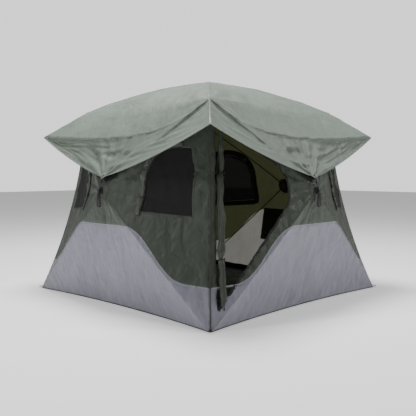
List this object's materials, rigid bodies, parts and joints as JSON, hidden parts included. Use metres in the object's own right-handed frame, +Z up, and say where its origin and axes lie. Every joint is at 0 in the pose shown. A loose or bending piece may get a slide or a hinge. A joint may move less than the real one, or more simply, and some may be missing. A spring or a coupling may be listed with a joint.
{
  "type": "pop-up hub tent",
  "caption": "Pop-up hub tent: leaning fabric walls spread by snap-through hubs and poles, with a rainfly, mesh windows, zip doors, splash panels and a floor.",
  "frame": {"origin": "on the ground under the middle of the floor", "axes": "+Z up; the wall with the open door faces -Y, and that door is at the wall's -X end"},
  "size_m": [2.6766, 2.6766, 2.067],
  "materials": {
    "wall_cloth": "dark green woven polyester, matt",
    "splash_cloth": "grey coated oxford cloth, satin",
    "fly_cloth": "sage green coated polyester with a soft sheen",
    "mesh_net": "fine black insect mesh",
    "floor_cloth": "black coated cloth",
    "fibreglass": "smooth black fibreglass rod",
    "hub_plastic": "moulded black nylon",
    "webbing": "black polypropylene webbing",
    "zip_metal": "black enamelled zinc"
  },
  "bodies": {
    "root": {"back_door_panel": "wall_cloth", "back_left_foot": "hub_plastic", "back_left_top_boot": "hub_plastic", "back_right_foot": "hub_plastic", "back_right_top_boot": "hub_plastic", "back_right_window_screen": "mesh_net", "back_splash_panel": "splash_cloth", "back_wall": "wall_cloth", "floor": "floor_cloth", "front_door_roll": "wall_cloth", "front_left_foot": "hub_plastic", "front_left_top_boot": "hub_plastic", "front_right_foot": "hub_plastic", "front_right_top_boot": "hub_plastic", "front_right_window_screen": "mesh_net", "front_splash_panel": "splash_cloth", "front_wall": "wall_cloth", "left_left_window_screen": "mesh_net", "left_right_window_screen": "mesh_net", "left_splash_panel": "splash_cloth", "left_wall": "wall_cloth", "rainfly": "fly_cloth", "right_left_window_screen": "mesh_net", "right_right_window_screen": "mesh_net", "right_splash_panel": "splash_cloth", "right_wall": "wall_cloth", "roof_panel": "wall_cloth"},
    "front_hub": {"front_hub": "hub_plastic"},
    "front_lower_left_pole": {"front_lower_left_pole": "fibreglass"},
    "front_lower_right_pole": {"front_lower_right_pole": "fibreglass"},
    "front_upper_right_pole": {"front_upper_right_pole": "fibreglass"},
    "front_upper_left_pole": {"front_upper_left_pole": "fibreglass"},
    "front_pull_loop": {"front_pull_loop": "webbing"},
    "right_hub": {"right_hub": "hub_plastic"},
    "right_lower_left_pole": {"right_lower_left_pole": "fibreglass"},
    "right_lower_right_pole": {"right_lower_right_pole": "fibreglass"},
    "right_upper_right_pole": {"right_upper_right_pole": "fibreglass"},
    "right_upper_left_pole": {"right_upper_left_pole": "fibreglass"},
    "right_pull_loop": {"right_pull_loop": "webbing"},
    "back_hub": {"back_hub": "hub_plastic"},
    "back_lower_left_pole": {"back_lower_left_pole": "fibreglass"},
    "back_lower_right_pole": {"back_lower_right_pole": "fibreglass"},
    "back_upper_right_pole": {"back_upper_right_pole": "fibreglass"},
    "back_upper_left_pole": {"back_upper_left_pole": "fibreglass"},
    "back_pull_loop": {"back_pull_loop": "webbing"},
    "left_hub": {"left_hub": "hub_plastic"},
    "left_lower_left_pole": {"left_lower_left_pole": "fibreglass"},
    "left_lower_right_pole": {"left_lower_right_pole": "fibreglass"},
    "left_upper_right_pole": {"left_upper_right_pole": "fibreglass"},
    "left_upper_left_pole": {"left_upper_left_pole": "fibreglass"},
    "left_pull_loop": {"left_pull_loop": "webbing"},
    "roof_hub": {"roof_hub": "hub_plastic"},
    "roof_front_left_pole": {"roof_front_left_pole": "fibreglass"},
    "roof_front_right_pole": {"roof_front_right_pole": "fibreglass"},
    "roof_back_right_pole": {"roof_back_right_pole": "fibreglass"},
    "roof_back_left_pole": {"roof_back_left_pole": "fibreglass"},
    "zip_slider": {"front_door_zip_slider": "zip_metal"}
  },
  "joints": [
    {"name": "front_hub_snap", "type": "slide", "parent": "root", "child": "front_hub", "axis": [0, 0.9827, -0.1853], "range_m": [0, 0.62651], "deforming": ["rainfly", "front_door_roll", "front_right_window_screen", "front_splash_panel", "front_wall", "floor"]},
    {"name": "front_lower_left_pole_turn", "type": "hinge", "parent": "front_hub", "child": "front_lower_left_pole", "pos_m": [-0.03795, -1.27212, 0.98426], "axis": [-0.6325, 0.1435, 0.7612], "range_deg": [0, 25.07]},
    {"name": "front_lower_right_pole_turn", "type": "hinge", "parent": "front_hub", "child": "front_lower_right_pole", "pos_m": [0.03795, -1.27212, 0.98426], "axis": [-0.6325, -0.1435, -0.7612], "range_deg": [0, 25.07]},
    {"name": "front_upper_right_pole_turn", "type": "hinge", "parent": "front_hub", "child": "front_upper_right_pole", "pos_m": [0.03571, -1.26016, 1.04769], "axis": [0.6847, -0.135, -0.7162], "range_deg": [0, 32.64]},
    {"name": "front_upper_left_pole_turn", "type": "hinge", "parent": "front_hub", "child": "front_upper_left_pole", "pos_m": [-0.03571, -1.26016, 1.04769], "axis": [0.6847, 0.135, 0.7162], "range_deg": [0, 32.64]},
    {"name": "front_pull_loop_swing", "type": "hinge", "parent": "front_hub", "child": "front_pull_loop", "pos_m": [0, -1.32332, 1.02545], "axis": [-1, 0, 0], "range_deg": [-4, 90]},
    {"name": "right_hub_snap", "type": "slide", "parent": "root", "child": "right_hub", "axis": [-0.9827, 0, -0.1853], "range_m": [0, 0.62651], "deforming": ["rainfly", "right_left_window_screen", "right_right_window_screen", "right_splash_panel", "right_wall", "floor"]},
    {"name": "right_lower_left_pole_turn", "type": "hinge", "parent": "right_hub", "child": "right_lower_left_pole", "pos_m": [1.27212, -0.03795, 0.98426], "axis": [-0.1435, -0.6325, 0.7612], "range_deg": [0, 25.07]},
    {"name": "right_lower_right_pole_turn", "type": "hinge", "parent": "right_hub", "child": "right_lower_right_pole", "pos_m": [1.27212, 0.03795, 0.98426], "axis": [0.1435, -0.6325, -0.7612], "range_deg": [0, 25.07]},
    {"name": "right_upper_right_pole_turn", "type": "hinge", "parent": "right_hub", "child": "right_upper_right_pole", "pos_m": [1.26016, 0.03571, 1.04769], "axis": [0.135, 0.6847, -0.7162], "range_deg": [0, 32.64]},
    {"name": "right_upper_left_pole_turn", "type": "hinge", "parent": "right_hub", "child": "right_upper_left_pole", "pos_m": [1.26016, -0.03571, 1.04769], "axis": [-0.135, 0.6847, 0.7162], "range_deg": [0, 32.64]},
    {"name": "right_pull_loop_swing", "type": "hinge", "parent": "right_hub", "child": "right_pull_loop", "pos_m": [1.32332, 0, 1.02545], "axis": [0, -1, 0], "range_deg": [-4, 90]},
    {"name": "back_hub_snap", "type": "slide", "parent": "root", "child": "back_hub", "axis": [0, -0.9827, -0.1853], "range_m": [0, 0.62651], "deforming": ["rainfly", "back_door_panel", "back_right_window_screen", "back_splash_panel", "back_wall", "floor"]},
    {"name": "back_lower_left_pole_turn", "type": "hinge", "parent": "back_hub", "child": "back_lower_left_pole", "pos_m": [0.03795, 1.27212, 0.98426], "axis": [0.6325, -0.1435, 0.7612], "range_deg": [0, 25.07]},
    {"name": "back_lower_right_pole_turn", "type": "hinge", "parent": "back_hub", "child": "back_lower_right_pole", "pos_m": [-0.03795, 1.27212, 0.98426], "axis": [0.6325, 0.1435, -0.7612], "range_deg": [0, 25.07]},
    {"name": "back_upper_right_pole_turn", "type": "hinge", "parent": "back_hub", "child": "back_upper_right_pole", "pos_m": [-0.03571, 1.26016, 1.04769], "axis": [-0.6847, 0.135, -0.7162], "range_deg": [0, 32.64]},
    {"name": "back_upper_left_pole_turn", "type": "hinge", "parent": "back_hub", "child": "back_upper_left_pole", "pos_m": [0.03571, 1.26016, 1.04769], "axis": [-0.6847, -0.135, 0.7162], "range_deg": [0, 32.64]},
    {"name": "back_pull_loop_swing", "type": "hinge", "parent": "back_hub", "child": "back_pull_loop", "pos_m": [0, 1.32332, 1.02545], "axis": [1, 0, 0], "range_deg": [-4, 90]},
    {"name": "left_hub_snap", "type": "slide", "parent": "root", "child": "left_hub", "axis": [0.9827, 0, -0.1853], "range_m": [0, 0.62651], "deforming": ["rainfly", "left_left_window_screen", "left_right_window_screen", "left_splash_panel", "left_wall", "floor"]},
    {"name": "left_lower_left_pole_turn", "type": "hinge", "parent": "left_hub", "child": "left_lower_left_pole", "pos_m": [-1.27212, 0.03795, 0.98426], "axis": [0.1435, 0.6325, 0.7612], "range_deg": [0, 25.07]},
    {"name": "left_lower_right_pole_turn", "type": "hinge", "parent": "left_hub", "child": "left_lower_right_pole", "pos_m": [-1.27212, -0.03795, 0.98426], "axis": [-0.1435, 0.6325, -0.7612], "range_deg": [0, 25.07]},
    {"name": "left_upper_right_pole_turn", "type": "hinge", "parent": "left_hub", "child": "left_upper_right_pole", "pos_m": [-1.26016, -0.03571, 1.04769], "axis": [-0.135, -0.6847, -0.7162], "range_deg": [0, 32.64]},
    {"name": "left_upper_left_pole_turn", "type": "hinge", "parent": "left_hub", "child": "left_upper_left_pole", "pos_m": [-1.26016, 0.03571, 1.04769], "axis": [0.135, -0.6847, 0.7162], "range_deg": [0, 32.64]},
    {"name": "left_pull_loop_swing", "type": "hinge", "parent": "left_hub", "child": "left_pull_loop", "pos_m": [-1.32332, 0, 1.02545], "axis": [0, 1, 0], "range_deg": [-4, 90]},
    {"name": "roof_hub_snap", "type": "slide", "parent": "root", "child": "roof_hub", "axis": [0, 0, -1], "range_m": [0, 0.5841], "deforming": ["rainfly", "roof_panel"]},
    {"name": "roof_front_left_pole_turn", "type": "hinge", "parent": "roof_hub", "child": "roof_front_left_pole", "pos_m": [-0.03465, -0.03465, 2.00205], "axis": [-0.7071, 0.7071, 0], "range_deg": [0, 29.63]},
    {"name": "roof_front_right_pole_turn", "type": "hinge", "parent": "roof_hub", "child": "roof_front_right_pole", "pos_m": [0.03465, -0.03465, 2.00205], "axis": [-0.7071, -0.7071, 0], "range_deg": [0, 29.63]},
    {"name": "roof_back_right_pole_turn", "type": "hinge", "parent": "roof_hub", "child": "roof_back_right_pole", "pos_m": [0.03465, 0.03465, 2.00205], "axis": [0.7071, -0.7071, 0], "range_deg": [0, 29.63]},
    {"name": "roof_back_left_pole_turn", "type": "hinge", "parent": "roof_hub", "child": "roof_back_left_pole", "pos_m": [-0.03465, 0.03465, 2.00205], "axis": [0.7071, 0.7071, 0], "range_deg": [0, 29.63]},
    {"name": "front_door_zip_slide", "type": "slide", "parent": "root", "child": "zip_slider", "axis": [0.7205, -0.0567, 0.6911], "range_m": [0, 0.8988]}
  ],
  "couplings": [
    {"joint": "front_lower_left_pole_turn", "follows": "front_hub_snap", "rad_per_m": 0.69793},
    {"joint": "front_lower_right_pole_turn", "follows": "front_hub_snap", "rad_per_m": 0.69793},
    {"joint": "front_upper_right_pole_turn", "follows": "front_hub_snap", "rad_per_m": 0.90863},
    {"joint": "front_upper_left_pole_turn", "follows": "front_hub_snap", "rad_per_m": 0.90863},
    {"joint": "right_lower_left_pole_turn", "follows": "right_hub_snap", "rad_per_m": 0.69793},
    {"joint": "right_lower_right_pole_turn", "follows": "right_hub_snap", "rad_per_m": 0.69793},
    {"joint": "right_upper_right_pole_turn", "follows": "right_hub_snap", "rad_per_m": 0.90863},
    {"joint": "right_upper_left_pole_turn", "follows": "right_hub_snap", "rad_per_m": 0.90863},
    {"joint": "back_lower_left_pole_turn", "follows": "back_hub_snap", "rad_per_m": 0.69793},
    {"joint": "back_lower_right_pole_turn", "follows": "back_hub_snap", "rad_per_m": 0.69793},
    {"joint": "back_upper_right_pole_turn", "follows": "back_hub_snap", "rad_per_m": 0.90863},
    {"joint": "back_upper_left_pole_turn", "follows": "back_hub_snap", "rad_per_m": 0.90863},
    {"joint": "left_lower_left_pole_turn", "follows": "left_hub_snap", "rad_per_m": 0.69793},
    {"joint": "left_lower_right_pole_turn", "follows": "left_hub_snap", "rad_per_m": 0.69793},
    {"joint": "left_upper_right_pole_turn", "follows": "left_hub_snap", "rad_per_m": 0.90863},
    {"joint": "left_upper_left_pole_turn", "follows": "left_hub_snap", "rad_per_m": 0.90863},
    {"joint": "roof_front_left_pole_turn", "follows": "roof_hub_snap", "rad_per_m": 0.88475},
    {"joint": "roof_front_right_pole_turn", "follows": "roof_hub_snap", "rad_per_m": 0.88475},
    {"joint": "roof_back_right_pole_turn", "follows": "roof_hub_snap", "rad_per_m": 0.88475},
    {"joint": "roof_back_left_pole_turn", "follows": "roof_hub_snap", "rad_per_m": 0.88475}
  ]
}
